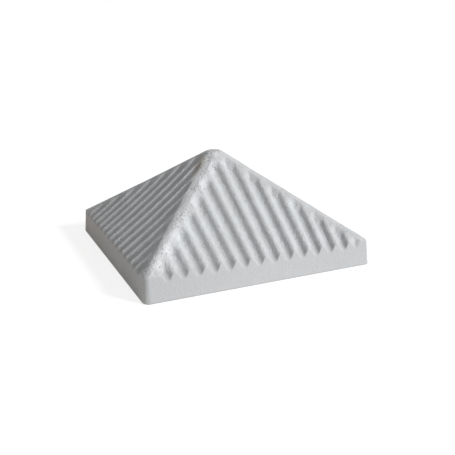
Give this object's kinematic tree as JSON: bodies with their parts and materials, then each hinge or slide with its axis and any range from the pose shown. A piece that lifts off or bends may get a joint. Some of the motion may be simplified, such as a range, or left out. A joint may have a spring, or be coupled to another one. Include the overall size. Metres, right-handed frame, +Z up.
{
  "type": "pillar cap",
  "caption": "Square cast concrete cap for a pillar or gate post, with an upright edge and four fluted slopes that rise to a blunt tip.",
  "frame": {"origin": "centre of the flat underside, in the plane that beds on the pillar", "axes": "+Z up through the tip, +X along the front edge, +Y from the front edge to the back edge"},
  "size_m": [0.2996, 0.2996, 0.1364],
  "materials": {
    "concrete": "pale grey cast concrete, fine sandy grain with small air pits, unpainted and matt"
  },
  "bodies": {
    "root": {"pillar_cap": "concrete"}
  },
  "joints": []
}
